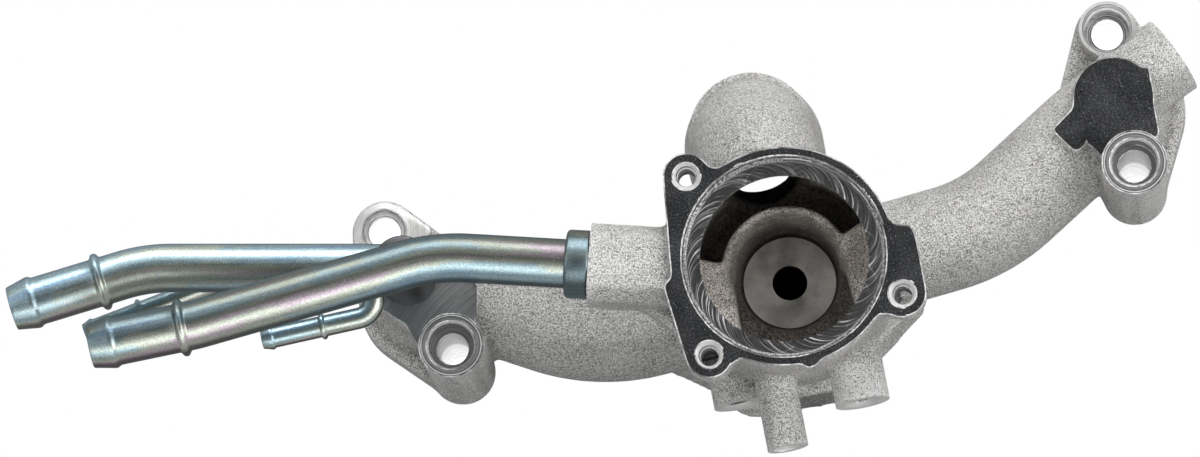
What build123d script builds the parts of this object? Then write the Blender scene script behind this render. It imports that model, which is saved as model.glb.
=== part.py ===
from build123d import *
import os
from math import atan2, cos, degrees, radians, sin

# A coolant water outlet of a V engine: one aluminium casting that joins the coolant ports of both
# cylinder heads behind a valve chamber, with plated steel hose pipes pressed into it.
# Millimetres. The origin is the centre of the chamber's mouth on its machined face, +Z points out
# of the mouth, and +X runs along the crossover towards the head whose hose stub is cast on.

# Mouth face and valve chamber
mouth_radius = 33.0
mouth_step = 1.3
mouth_step_depth = 1.1
ledge_depth = 3.6
ledge_radius = 27.4
lip_thickness = 2.6
chamber_radius = 30.5
chamber_depth = 40.0
housing_wall = 4.8
face_plate = 9.0
housing_foot_radius = 25.0

# Ears that take the cover's bolts: place, radius of the lobe, and the tapped hole
ear_upper = (-31.9, 26.4)
ear_lower = (-23.8, -32.6)
ear_right = (38.5, -12.3)
ear_radius = 7.6
ear_drill = 6.8
ear_chamfer = 1.25
ear_length = 14.0
ear_draft = 1.2

# Small outline features of the mouth face: a casting tab, and corner: radius of its rounds
face_tab_corners = ((5.0, -33.0), (6.2, -35.2), (8.2, -37.0), (10.9, -36.2), (12.9, -33.0))
face_tab_depth = 3.0
face_rounds = (((41.3, 9.9), 2.0), ((-26.0, 31.0), 3.5), ((-14.5, -34.4), 3.5), ((31.5, -18.9), 4.0))

# Webs that fill the mouth face beside its ears: corners, and where they meet an ear's round
face_ring_step = 0.7
left_web_corners = ((-36.2, -7.8), (-39.0, -9.5))
left_web_turn = 197.0
right_web_corners = ((33.2, 9.9), (41.3, 9.9), (42.8, 5.7))
right_web_turn = 10.0

# Valve seat well in the chamber's floor, and the bypass port in it
well_depth = 45.5
well_radius = 19.0
well_rim_depth = 22.0
well_wall = 2.3
well_rim_slope = 0.6
well_taper = 1.6
well_taper_height = 7.0
well_foot_radius = 16.9
seat_cone_height = 4.0
seat_radius = 15.2
bypass_diameter = 11.5
channel_start = 33.0
channel_end = 174.0
channel_round = 4.0
channel_clearance = 1.0
fill_depth = 18.5
slot_depth = 36.0
slot_corners = ((-17.9, -2.2), (-14.6, -19.4), (-11.0, -32.0), (26.0, -32.0), (21.8, -10.6), (18.6, 1.5))

# Crossover that joins the two head flanges
flange_depth = 84.0
crossover_height = 20.0
crossover_bore = 26.0
cast_wall = 4.5
elbow_radius = 19.0
core_drop = 7.0
core_cut = 7.0
left_knee = (-99.0, -2.8)
left_knee_radius = 30.0
left_bend = (-63.0, -14.8)
left_bend_radius = 60.0
right_bend = (63.7, 22.3)
right_bend_radius = 55.0

# Head flanges: place of the port, and the direction from its tall boss to its low ear
left_port = (-123.5, 0.0)
left_turn = 120.0
right_port = (108.2, 64.2)
right_turn = 100.0
bolt_spacing = 53.0
bolt_hole = 10.6
flange_plate = 10.0
tall_ear = 10.0
low_ear = 10.9
flange_land = 8.5
tall_boss_height = 50.0
tall_boss_radius = 10.8
tall_counterbore_depth = 7.0
counterbore = 15.0
counterbore_chamfer = 0.9
low_boss_height = 18.0
low_boss_radius = 9.4
low_counterbore_depth = 9.5
low_ear_chamfer = 1.5
left_pad_height = 36.5
right_pad_height = 38.8
pad_radius = 13.4
right_pad_centre = (105.9, 62.6)
left_pad_corners = ((-4.0, 0.0), (-4.0, -12.2), (1.0, -20.0), (19.8, -20.0), (19.8, -1.0), (15.0, 4.0))
right_pad_corners = ((-13.1, 2.0), (-13.6, -7.4), (-8.1, -15.8), (-4.2, -20.0), (9.0, -20.0),
                     (15.2, -12.4), (13.2, -1.8), (11.8, 10.2))
finger_place = (92.84, 50.68)
finger_turn = 46.0
finger_length = 9.0
finger_width = 11.4

# Hose stub at the right end
stub_turn = 36.0
stub_start = (106.5, 67.0)
stub_length = 23.4
stub_diameter = 27.0
stub_bore = 20.0

# Pump elbow: leaves the chamber, turns down and ends in a socket
elbow_axis_depth = 26.0
elbow_outer_radius = 20.0
elbow_bore = 29.0
socket_cone_drop = 6.0
elbow_turn_radius = 19.5
pump_port = (-12.8, 48.0)
socket_radius = 23.1
socket_top = 56.0
socket_end = 80.0
socket_bore = 35.0
socket_bore_depth = 12.0
pump_bore = 27.0
pump_bore_lean = 12.9
pump_bore_lean_turn = -71.0

# Spigot boss of the front pipe
front_axis_depth = 13.0
front_turn = -3.3
spigot_end = (-63.4, -0.5)
spigot_length = 34.0
spigot_width = 26.0
spigot_top = 10.6
spigot_bottom = 12.5
spigot_bevel = 4.6
spigot_seat = 17.0
spigot_port = 11.0
spigot_web_top = 12.0
spigot_web_bottom = 24.0
spigot_web_corners = ((-50.5, -11.5), (-36.0, -22.4), (-31.2, -33.0), (-20.0, -30.0), (-25.0, 0.0),
                      (-45.0, -3.0))

# Bracket bosses under the chamber, all drawn in one direction
boss_turn = -78.7
centre_boss = (-4.2, -33.5)
centre_boss_length = 25.4
centre_boss_depth = 26.0
centre_boss_diameter = 13.6
right_boss = (20.9, -23.4)
right_boss_length = 20.1
right_boss_depth = 28.0
right_boss_diameter = 18.0
left_boss = (-19.5, -23.0)
left_boss_length = 17.9
left_boss_depth = 46.0
left_boss_diameter = 17.2
small_tap_drill = 6.8
large_tap_drill = 8.5
tap_depth = 16.0
tap_chamfer = 1.6

# Rear web under the chamber
web_height = 11.0
web_stand = 1.0
web_draft = 16.0
web_corners = ((-56.0, -14.0), (-44.0, -22.0), (-26.9, -29.8), (-17.5, -37.6), (-12.1, -38.6),
               (14.6, -33.6), (30.4, -17.6), (44.0, -2.0), (40.0, 12.0))

# Plated steel pipes
pipe_diameter = 16.0
pipe_wall = 1.3
press_gap = 0.02
bead_height = 1.6
bead_width = 4.0
nose_length = 7.2
nose_radius = 7.3
barb_radius = 8.7
barb_back = 1.6
front_bead = 30.5
front_tip = (-226.2, -27.5)
front_far_bend = (-192.0, -20.3)
front_far_radius = 50.0
front_straight = 50.7
front_near_radius = 62.0
collar_diameter = 22.4
collar_length = 8.0
collar_edge = 0.6

rear_axis_depth = 31.0
rear_tip = (-254.8, -11.6)
rear_bend_x = -210.8
rear_bend_radius = 55.0
rear_bead = 30.5
post_offset = (-2.5, 2.1)
post_diameter = 18.6
post_top_depth = 22.0
post_bore = 11.5
post_roof = 3.0
post_spigot = 14.0
post_spigot_length = 6.0
post_edge = 0.8

# Small nipples brazed to the rear pipe
nipple_diameter = 7.0
nipple_wall = 1.0
nipple_bead_height = 0.9
nipple_bead_width = 2.4
nipple_nose_length = 3.2
nipple_nose_radius = 3.1
nipple_barb_radius = 3.95
nipple_barb_back = 0.8
side_nipple_tip = (-172.1, -21.9)
side_nipple_elbow = (-135.7, -13.6)
side_nipple_bead = 20.5
side_nipple_radius = 6.0
lower_nipple_depth = 46.0
lower_nipple_tip = (-232.5, -16.9)
lower_nipple_elbow_x = -184.0
lower_nipple_bead = 19.8
lower_nipple_radius = 5.5

# Places that follow from the sizes above
flange_z = -flange_depth
crossover_z = flange_z + crossover_height
crossover_radius = crossover_bore / 2 + cast_wall
housing_radius = chamber_radius + housing_wall
housing_floor_z = -chamber_depth - housing_wall / 2
lip_z = -ledge_depth - 2 * lip_thickness
well_outer_radius = well_radius + well_wall
tall_top_z = flange_z + tall_boss_height
low_top_z = flange_z + low_boss_height
pipe_radius = pipe_diameter / 2
front_z = -front_axis_depth
rear_z = -rear_axis_depth
left_pad_z = flange_z + left_pad_height
right_pad_z = flange_z + right_pad_height
post_centre = (left_port[0] + post_offset[0], left_port[1] + post_offset[1])


def along(point, turn, distance):
    """The point at a distance from another, in a direction given in degrees from +X."""
    return (point[0] + distance * cos(radians(turn)), point[1] + distance * sin(radians(turn)))


def heading(start, end):
    """The direction from one point to another, in degrees from +X."""
    return degrees(atan2(end[1] - start[1], end[0] - start[0]))


def raised(point, z):
    """A plan point lifted to a height."""
    return (point[0], point[1], z)


def axis_plane(point, z, turn):
    """The plane whose normal runs level in a direction, through a plan point at a height."""
    return Plane(origin=raised(point, z), x_dir=(-sin(radians(turn)), cos(radians(turn)), 0),
                 z_dir=(cos(radians(turn)), sin(radians(turn)), 0))


left_tall = along(left_port, left_turn, -bolt_spacing / 2)
left_low = along(left_port, left_turn, bolt_spacing / 2)
right_tall = along(right_port, right_turn, -bolt_spacing / 2)
right_low = along(right_port, right_turn, bolt_spacing / 2)
left_core = along(left_port, heading(left_port, left_bend), core_cut)
right_core = along(right_port, heading(right_port, right_bend), core_cut)


def crossover_sweep(radius):
    """The crossover's round section, from one flange face up, across and down to the other."""
    with BuildLine() as route:
        FilletPolyline(raised(left_port, flange_z), raised(left_port, crossover_z),
                       raised(left_knee, crossover_z), raised(left_bend, crossover_z),
                       raised(right_bend, crossover_z), raised(right_port, crossover_z),
                       raised(right_port, flange_z),
                       radius=[elbow_radius, left_knee_radius, left_bend_radius, right_bend_radius,
                               elbow_radius])
    with BuildSketch(Plane(origin=raised(left_port, flange_z), z_dir=(0, 0, 1))) as section:
        Circle(radius)
    sweep(section.sketch, path=route.wire())


def cored_way(corners, radius):
    """A cored way of straight round runs that meet in balls at the corners."""
    runs = [Vector(*corner) for corner in corners]
    for start, end in zip(runs, runs[1:]):
        with BuildSketch(Plane(origin=start, z_dir=end - start)) as section:
            Circle(radius)
        extrude(section.sketch, amount=(end - start).length, mode=Mode.SUBTRACT)
    for corner in runs[1:-1]:
        with Locations(corner):
            Sphere(radius, mode=Mode.SUBTRACT)


def pump_elbow(radius, start_distance, end_depth):
    """The pump elbow's round section, from beside the chamber's axis out and down."""
    turn = heading((0, 0), pump_port)
    start = along((0, 0), turn, start_distance)
    with BuildLine() as route:
        FilletPolyline(raised(start, -elbow_axis_depth), raised(pump_port, -elbow_axis_depth),
                       raised(pump_port, -end_depth), radius=[elbow_turn_radius])
    with BuildSketch(axis_plane(start, -elbow_axis_depth, turn)) as section:
        Circle(radius)
    sweep(section.sketch, path=route.wire())


def flange(port, tall, low):
    """One head flange: two ears and a wide land round the port, drawn as one tight outline."""
    with BuildSketch(Plane.XY.offset(flange_z)) as outline:
        for spot, radius in ((tall, tall_ear), (port, crossover_bore / 2 + flange_land), (low, low_ear)):
            with Locations(spot):
                Circle(radius)
        make_hull()
    extrude(outline.sketch, amount=flange_plate)


def upright(spot, low_z, high_z, radius, mode=Mode.ADD):
    """An upright round boss or hole between two heights."""
    with BuildSketch(Plane.XY.offset(low_z)) as section:
        with Locations(spot):
            Circle(radius)
    extrude(section.sketch, amount=high_z - low_z, mode=mode)


def pad(port, top_z, corners):
    """The milled flat on an elbow: a round over the port and a field of given corners beside it."""
    with BuildSketch(Plane.XY.offset(top_z)) as outline:
        with Locations(port):
            Circle(pad_radius)
        with BuildLine():
            Polyline(*[(port[0] + x, port[1] + y) for x, y in corners], close=True)
        make_face()
    extrude(outline.sketch, amount=crossover_z - top_z)
    extrude(outline.sketch, amount=crossover_radius, mode=Mode.SUBTRACT)


def level_boss(start, z, turn, length, radius, mode=Mode.ADD):
    """A round boss or hole that lies level."""
    with BuildSketch(axis_plane(start, z, turn)) as section:
        Circle(radius)
    extrude(section.sketch, amount=length, mode=mode)


def tapped_level_hole(start, z, turn, length, drill):
    """A drilled and countersunk hole into the end of a level boss."""
    end = along(start, turn, length)
    level_boss(end, z, turn + 180, tap_depth, drill / 2, mode=Mode.SUBTRACT)
    with BuildSketch(axis_plane(end, z, turn + 180)) as section:
        Circle(drill / 2 + tap_chamfer)
    extrude(section.sketch, amount=tap_chamfer, taper=45, mode=Mode.SUBTRACT)


def countersink(spot, z, radius, depth):
    """A 45 degree countersink at the upper end of an upright hole."""
    with BuildSketch(Plane.XY.offset(z)) as section:
        with Locations(spot):
            Circle(radius + depth)
    extrude(section.sketch, amount=-depth, taper=45, mode=Mode.SUBTRACT)


def hose_pipe(route, bends, end):
    """A bent pipe: tapered nose and barb at its hose end, a rolled bead behind, open right through."""
    outer, wall, nose, nose_end, barb, back, bead_place, bead_half, bead_rise = end
    tip = Vector(*route[0])
    ahead = (Vector(*route[1]) - tip).normalized()
    with BuildSketch(Plane(origin=tip, x_dir=ahead, z_dir=(0, 0, 1))) as nose_profile:
        with BuildLine():
            Polyline((0, 0), (0, nose_end), (nose, barb), (nose + back, outer), (bead_place - bead_half, outer),
                     (bead_place - bead_half / 2, outer + bead_rise),
                     (bead_place + bead_half / 2, outer + bead_rise),
                     (bead_place + bead_half, outer), (bead_place + bead_half, 0), close=True)
        make_face()
    revolve(nose_profile.sketch, axis=Axis(tip, ahead))
    start = tip + ahead * (bead_place + bead_half)
    with BuildLine() as body_route:
        FilletPolyline(start, *route[1:], radius=bends)
    with BuildSketch(Plane(origin=start, z_dir=ahead)) as body_section:
        Circle(outer)
    sweep(body_section.sketch, path=body_route.wire())
    with BuildLine() as bore_route:
        FilletPolyline(*route, radius=bends)
    with BuildSketch(Plane(origin=tip, z_dir=ahead)) as bore_section:
        Circle(outer - wall)
    sweep(bore_section.sketch, path=bore_route.wire(), mode=Mode.SUBTRACT)


# Routes of the pipes' axes from hose end to seat, and the sizes of their hose ends
spigot_seat_point = along(spigot_end, front_turn, spigot_seat)
front_near_bend = along(spigot_end, front_turn + 180, front_straight)
front_route = [raised(spot, front_z)
               for spot in (front_tip, front_far_bend, front_near_bend, spigot_seat_point)]
rear_bend = (rear_bend_x, post_centre[1])
rear_route = [raised(spot, rear_z) for spot in (rear_tip, rear_bend, post_centre)]
rear_reach = post_centre[0] - rear_bend[0]
nipple_radius = nipple_diameter / 2
nipple_bore = nipple_diameter - 2 * nipple_wall
side_nipple_root = (side_nipple_elbow[0], post_centre[1])
side_nipple_route = [raised(spot, rear_z) for spot in (side_nipple_tip, side_nipple_elbow, side_nipple_root)]
lower_nipple_z = -lower_nipple_depth
lower_nipple_elbow = (lower_nipple_elbow_x, post_centre[1])
lower_nipple_route = [raised(lower_nipple_tip, lower_nipple_z), raised(lower_nipple_elbow, lower_nipple_z),
                      raised(lower_nipple_elbow, rear_z)]
large_end = (pipe_radius, pipe_wall, nose_length, nose_radius, barb_radius, barb_back,
             front_bead, bead_width / 2, bead_height)
side_end = (nipple_radius, nipple_wall, nipple_nose_length, nipple_nose_radius, nipple_barb_radius,
            nipple_barb_back, side_nipple_bead, nipple_bead_width / 2, nipple_bead_height)
lower_end = (nipple_radius, nipple_wall, nipple_nose_length, nipple_nose_radius, nipple_barb_radius,
             nipple_barb_back, lower_nipple_bead, nipple_bead_width / 2, nipple_bead_height)
lean = radians(pump_bore_lean)
lean_turn = radians(pump_bore_lean_turn)
lean_direction = (sin(lean) * cos(lean_turn), sin(lean) * sin(lean_turn), cos(lean))

# Outline of the machined mouth face: the ring, the ears and the webs that fill beside them
with BuildSketch() as face_outline:
    Circle(housing_radius + face_ring_step)
    for ear in (ear_upper, ear_lower, ear_right):
        with Locations(ear):
            Circle(ear_radius)
    with BuildLine():
        Polyline(ear_upper, (ear_upper[0] - ear_radius, ear_upper[1]), *left_web_corners,
                 along(ear_lower, left_web_turn, ear_radius), ear_lower, (0, 0), close=True)
    make_face()
    with BuildLine():
        Polyline((0, 0), *right_web_corners, along(ear_right, right_web_turn, ear_radius), ear_right,
                 close=True)
    make_face()
    for corner, radius in face_rounds:
        fillet(face_outline.vertices().sort_by_distance(corner)[0], radius)

# The whole casting
with BuildPart() as outlet_casting:
    crossover_sweep(crossover_radius)
    flange(left_port, left_tall, left_low)
    flange(right_port, right_tall, right_low)
    pad(left_port, left_pad_z, left_pad_corners)
    pad(right_pad_centre, right_pad_z, right_pad_corners)
    with BuildSketch(Plane.XY.offset(crossover_z)):
        with Locations(Location(raised(finger_place, 0), (0, 0, finger_turn))):
            Rectangle(finger_length, finger_width)
    extrude(amount=right_pad_z - crossover_z)
    upright(left_tall, flange_z, tall_top_z, tall_boss_radius)
    upright(right_tall, flange_z, tall_top_z, tall_boss_radius)
    upright(right_low, flange_z, low_top_z, low_boss_radius)
    level_boss(stub_start, crossover_z, stub_turn, stub_length, stub_diameter / 2)

    # Housing of the chamber and its foot on the crossover
    upright((0, 0), housing_floor_z, 0, housing_radius)
    with BuildSketch(Plane.XY.offset(housing_floor_z)):
        Circle(housing_radius)
    with BuildSketch(Plane.XY.offset(crossover_z)):
        Circle(housing_foot_radius)
    loft()
    with BuildSketch(Plane.XY.offset(-face_plate)):
        add(face_outline.sketch)
    extrude(amount=face_plate)
    for ear in (ear_upper, ear_lower, ear_right):
        upright(ear, -ear_length, 0, ear_radius - ear_draft)
    with BuildSketch(Plane.XY.offset(-face_tab_depth)):
        with BuildLine():
            Polyline(*face_tab_corners, close=True)
        make_face()
    extrude(amount=face_tab_depth)

    # Pump elbow and its socket
    pump_elbow(elbow_outer_radius, chamber_radius / 2, socket_end)
    upright(pump_port, -socket_end, -socket_top, socket_radius)
    with BuildSketch(Plane.XY.offset(-socket_top)):
        with Locations(pump_port):
            Circle(socket_radius)
    with BuildSketch(Plane.XY.offset(-elbow_axis_depth - socket_cone_drop)):
        with Locations(pump_port):
            Circle(elbow_outer_radius)
    loft()

    # Spigot boss for the front pipe
    with BuildSketch(axis_plane(spigot_end, front_z, front_turn)) as spigot_section:
        with Locations((0, (spigot_top - spigot_bottom) / 2)):
            Rectangle(spigot_width, spigot_top + spigot_bottom)
        chamfer(spigot_section.vertices(), spigot_bevel)
    extrude(amount=spigot_length)

    # Web from the spigot boss down to the lower ear
    with BuildSketch(Plane.XY.offset(-spigot_web_bottom)):
        with BuildLine():
            Polyline(*spigot_web_corners, close=True)
        make_face()
    extrude(amount=spigot_web_bottom - spigot_web_top)

    # Bracket bosses
    level_boss(centre_boss, -centre_boss_depth, boss_turn, centre_boss_length, centre_boss_diameter / 2)
    level_boss(right_boss, -right_boss_depth, boss_turn, right_boss_length, right_boss_diameter / 2)
    level_boss(left_boss, -left_boss_depth, boss_turn, left_boss_length, left_boss_diameter / 2)

    # Rear web with drafted sides
    with BuildSketch(Plane.XY.offset(flange_z + web_stand)):
        with BuildLine():
            Polyline(*web_corners, close=True)
        make_face()
    extrude(amount=web_height, taper=web_draft)

    # Coolant way through the crossover and out of the stub
    cored_way([raised(left_port, flange_z), raised(left_port, crossover_z - core_drop),
               raised(left_core, crossover_z), raised(left_bend, crossover_z), raised(right_bend, crossover_z),
               raised(right_core, crossover_z), raised(right_port, crossover_z - core_drop),
               raised(right_port, flange_z)], crossover_bore / 2)
    level_boss(stub_start, crossover_z, stub_turn, stub_length, stub_bore / 2, mode=Mode.SUBTRACT)

    # Mouth, ledge, chamber and valve seat well, turned on the mouth's axis
    with BuildSketch(Plane.XZ):
        with BuildLine():
            Polyline((0, 0), (mouth_radius, 0), (mouth_radius, -mouth_step_depth),
                     (mouth_radius - mouth_step, -mouth_step_depth),
                     (mouth_radius - mouth_step, -ledge_depth), (ledge_radius, -ledge_depth),
                     (ledge_radius, -ledge_depth - lip_thickness), (chamber_radius, lip_z),
                     (chamber_radius, -fill_depth), (well_outer_radius, -well_rim_depth + well_rim_slope),
                     (well_radius, -well_rim_depth),
                     (well_radius - well_taper, -well_rim_depth - well_taper_height),
                     (well_foot_radius, -well_depth + seat_cone_height), (seat_radius, -well_depth),
                     (0, -well_depth), close=True)
        make_face()
    revolve(axis=Axis.Z, mode=Mode.SUBTRACT)

    # Deep channel round the upper side of the well
    with BuildSketch(Plane.XZ.rotated((0, 0, channel_start))):
        with BuildLine():
            Polyline((well_outer_radius, -well_rim_depth + channel_clearance), (chamber_radius, lip_z),
                     (chamber_radius, -chamber_depth + channel_round),
                     (chamber_radius - channel_round, -chamber_depth),
                     (well_outer_radius + channel_clearance, -chamber_depth), close=True)
        make_face()
    revolve(axis=Axis.Z, revolution_arc=channel_end - channel_start, mode=Mode.SUBTRACT)

    # The well stays open towards the lower side, as a slot with straight walls
    with BuildSketch(Plane.XY.offset(-slot_depth)):
        with BuildLine():
            Polyline(*slot_corners, close=True)
        make_face()
        Circle(chamber_radius, mode=Mode.INTERSECT)
    extrude(amount=slot_depth + lip_z, mode=Mode.SUBTRACT)

    # Way out of the channel through the pump elbow
    elbow_turn = heading((0, 0), pump_port)
    cored_way([raised(along((0, 0), elbow_turn, well_outer_radius + channel_clearance), -elbow_axis_depth),
               raised(along(pump_port, elbow_turn, -core_cut), -elbow_axis_depth),
               raised(pump_port, -elbow_axis_depth - core_cut), raised(pump_port, -socket_end)], elbow_bore / 2)
    with BuildSketch(Plane(origin=raised(pump_port, -socket_end), z_dir=lean_direction)) as leaning_bore:
        Circle(pump_bore / 2)
    extrude(amount=socket_end - elbow_axis_depth, both=True, mode=Mode.SUBTRACT)
    upright(pump_port, -socket_end, -socket_end + socket_bore_depth, socket_bore / 2, mode=Mode.SUBTRACT)

    # Bypass port from the well to the crossover
    upright((0, 0), crossover_z, -well_depth, bypass_diameter / 2, mode=Mode.SUBTRACT)

    # Front pipe's seat and its port into the chamber
    level_boss(spigot_end, front_z, front_turn, spigot_seat, pipe_radius + press_gap, mode=Mode.SUBTRACT)
    level_boss(spigot_end, front_z, front_turn, spigot_length, spigot_port / 2, mode=Mode.SUBTRACT)

    # Tapped ears of the mouth face
    for ear in (ear_upper, ear_lower, ear_right):
        upright(ear, -ear_length, 0, ear_drill / 2, mode=Mode.SUBTRACT)
        countersink(ear, 0, ear_drill / 2, ear_chamfer)

    # Bolt holes of the two head flanges
    for boss, top_z, depth in ((left_tall, tall_top_z, tall_counterbore_depth),
                               (right_tall, tall_top_z, tall_counterbore_depth),
                               (right_low, low_top_z, low_counterbore_depth)):
        upright(boss, flange_z, top_z, bolt_hole / 2, mode=Mode.SUBTRACT)
        upright(boss, top_z - depth, top_z, counterbore / 2, mode=Mode.SUBTRACT)
        countersink(boss, top_z, counterbore / 2, counterbore_chamfer)
    upright(left_low, flange_z, flange_z + flange_plate, bolt_hole / 2, mode=Mode.SUBTRACT)
    countersink(left_low, flange_z + flange_plate, bolt_hole / 2, low_ear_chamfer)

    # Seat of the rear pipe's post, down into the elbow
    upright(post_centre, crossover_z, left_pad_z, post_spigot / 2 + press_gap, mode=Mode.SUBTRACT)

    # Tapped holes in the bracket bosses
    tapped_level_hole(centre_boss, -centre_boss_depth, boss_turn, centre_boss_length, small_tap_drill)
    tapped_level_hole(right_boss, -right_boss_depth, boss_turn, right_boss_length, large_tap_drill)
    tapped_level_hole(left_boss, -left_boss_depth, boss_turn, left_boss_length, large_tap_drill)

# Front pipe, pressed into the spigot boss up to the shoulder
with BuildPart() as front_pipe:
    hose_pipe(front_route, [front_far_radius, front_near_radius], large_end)

# Collar on the front pipe that stops against the spigot boss
with BuildPart() as front_pipe_collar:
    level_boss(spigot_end, front_z, front_turn + 180, collar_length, collar_diameter / 2)
    chamfer(front_pipe_collar.edges().filter_by(GeomType.CIRCLE), collar_edge)
    level_boss(spigot_end, front_z, front_turn + 180, collar_length, pipe_radius + press_gap,
               mode=Mode.SUBTRACT)

# Post on the left elbow that carries the rear pipe
with BuildPart() as rear_pipe_post:
    upright(post_centre, left_pad_z, -post_top_depth, post_diameter / 2)
    chamfer(rear_pipe_post.edges().group_by(Axis.Z)[-1], post_edge)
    upright(post_centre, left_pad_z - post_spigot_length, left_pad_z, post_spigot / 2)
    upright(post_centre, left_pad_z - post_spigot_length, -post_top_depth - post_roof, post_bore / 2,
            mode=Mode.SUBTRACT)
    level_boss(post_centre, rear_z, 180, post_diameter, post_bore / 2, mode=Mode.SUBTRACT)

# Rear pipe, coped round the post and drilled for its two nipples
with BuildPart() as rear_pipe:
    hose_pipe(rear_route, [rear_bend_radius], large_end)
    upright(post_centre, 2 * rear_z, 0, post_diameter / 2 + press_gap, mode=Mode.SUBTRACT)
    level_boss(side_nipple_root, rear_z, -90, pipe_diameter, nipple_bore / 2, mode=Mode.SUBTRACT)
    upright(lower_nipple_elbow, 2 * rear_z, rear_z, nipple_bore / 2, mode=Mode.SUBTRACT)

# Small nipple on the rear pipe's side, beside the post
with BuildPart() as side_nipple:
    hose_pipe(side_nipple_route, [side_nipple_radius], side_end)
    level_boss(post_centre, rear_z, 180, rear_reach, pipe_radius + press_gap, mode=Mode.SUBTRACT)

# Small nipple under the rear pipe
with BuildPart() as lower_nipple:
    hose_pipe(lower_nipple_route, [lower_nipple_radius], lower_end)
    level_boss(post_centre, rear_z, 180, rear_reach, pipe_radius + press_gap, mode=Mode.SUBTRACT)

outlet_casting.part.label = "outlet_casting"
front_pipe.part.label = "front_pipe"
front_pipe_collar.part.label = "front_pipe_collar"
rear_pipe_post.part.label = "rear_pipe_post"
rear_pipe.part.label = "rear_pipe"
side_nipple.part.label = "side_nipple"
lower_nipple.part.label = "lower_nipple"

os.makedirs("parts", exist_ok=True)
for piece in (outlet_casting, front_pipe, front_pipe_collar, rear_pipe_post, rear_pipe,
              side_nipple, lower_nipple):
    export_step(piece.part, "parts/" + piece.part.label + ".step")
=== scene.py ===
from math import cos, pi, radians, sin, tan

import bmesh
import bpy
import numpy as np
from mathutils import Matrix, Quaternion, Vector


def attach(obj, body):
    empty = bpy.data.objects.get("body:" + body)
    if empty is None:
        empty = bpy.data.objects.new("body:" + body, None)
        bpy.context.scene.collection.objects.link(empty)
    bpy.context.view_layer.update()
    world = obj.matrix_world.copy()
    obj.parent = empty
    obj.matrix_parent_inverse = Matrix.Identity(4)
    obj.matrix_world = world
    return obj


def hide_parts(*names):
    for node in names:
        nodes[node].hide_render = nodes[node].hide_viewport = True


# Everything below is written in millimetres and turned into metres where a mesh is made.
MM = 0.001

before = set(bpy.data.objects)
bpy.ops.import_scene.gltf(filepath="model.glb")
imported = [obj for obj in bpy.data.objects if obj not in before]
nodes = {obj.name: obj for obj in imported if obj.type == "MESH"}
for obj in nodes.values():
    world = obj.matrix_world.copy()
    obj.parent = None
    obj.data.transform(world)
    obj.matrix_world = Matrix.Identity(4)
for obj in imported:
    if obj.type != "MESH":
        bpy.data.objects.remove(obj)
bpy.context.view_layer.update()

# Sizes shared with the solids
mouth_radius, mouth_step, mouth_step_depth = 33.0, 1.3, 1.1
ledge_depth, ledge_radius, lip_depth = 3.6, 27.4, 2.6
well_depth, seat_radius = 45.5, 15.2
crossover_z, crossover_radius = -64.0, 17.5
flange_z = -84.0
left_port, right_port = (-123.5, 0.0), (108.2, 64.2)
left_tall, left_low = (-110.25, -22.95), (-136.75, 22.95)
right_tall, right_low = (112.802, 38.103), (103.598, 90.297)
tall_top, right_low_top = -34.0, -66.0
left_pad_z, right_pad_z = -47.5, -45.2
crossover_route = (
    (*left_port, flange_z), (*left_port, crossover_z), (-99.0, -2.8, crossover_z),
    (-63.0, -14.8, crossover_z), (63.7, 22.3, crossover_z), (*right_port, crossover_z),
    (*right_port, flange_z))
crossover_bends = (19.0, 30.0, 60.0, 55.0, 19.0)
pump_port, socket_end, socket_depth, socket_bore = (-12.8, 48.0), -80.0, 12, 17.5
stub_turn, stub_start, stub_length = 36.0, (106.5, 67.0), 23.4
spigot_end, front_turn, front_z = (-63.4, -0.5), -3.3, -13.0
ears = ((-31.9, 26.4), (-23.8, -32.6), (38.5, -12.3))
post_centre = (-126.0, 2.1)
pipe_radius, pipe_bore = 8.0, 6.7
nipple_radius, nipple_bore = 3.5, 2.5
rear_z, lower_nipple_z = -31.0, -46.0

# Bracket bosses, all in one direction: foot, length, height of the axis and radius
boss_turn = -78.7
bosses = {"centre": ((-4.2, -33.5), 25.4, -26.0, 6.8), "right": ((20.9, -23.4), 20.1, -28.0, 9.0),
          "left": ((-19.5, -23.0), 17.9, -46.0, 8.6)}

# Milled flats beside the tall bosses: a round, and an outline round its middle
pad_radius, pad_margin, field_margin = 13.4, 0.5, 0.6
left_pad_corners = ((-4.0, 0.0), (-4.0, -12.2), (1.0, -20.0), (19.8, -20.0), (19.8, -1.0), (15.0, 4.0),
                    (12.4, 5.6))
right_pad_centre = (105.9, 62.6)
right_pad_corners = ((-13.1, 2.0), (-13.6, -7.4), (-8.1, -15.8), (-4.2, -20.0), (9.0, -20.0),
                     (15.2, -12.4), (13.2, -1.8), (11.8, 10.2), (4.3, 12.75))
# The short arm at the left of the right flat
arm_centre, arm_turn = (92.84, 50.68), 46.0
arm_corners = ((-4.7, -5.9), (7.5, -5.9), (7.5, 5.9), (-4.7, 5.9))

# Bars and tools start below every underside, and mills stand this far over their flats
core_foot, tool_foot, mill_rise = -90, -96, 12
# The mouth's face is milled a hair lower than the solid, so that no skin is left on it
skim = 0.015
# Upward part of a normal from which a face counts as level
LEVEL = 0.9999
ROUND = 96
FINE_ROUND = 192
UP, DOWN = (0, 0, 1), (0, 0, -1)


# Small geometry tools

def along(point, turn, distance):
    """The point at a distance from another, in a direction in degrees from +X."""
    return (point[0] + distance * cos(radians(turn)), point[1] + distance * sin(radians(turn)))


def heading(turn):
    return Vector((cos(radians(turn)), sin(radians(turn)), 0.0))


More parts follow.
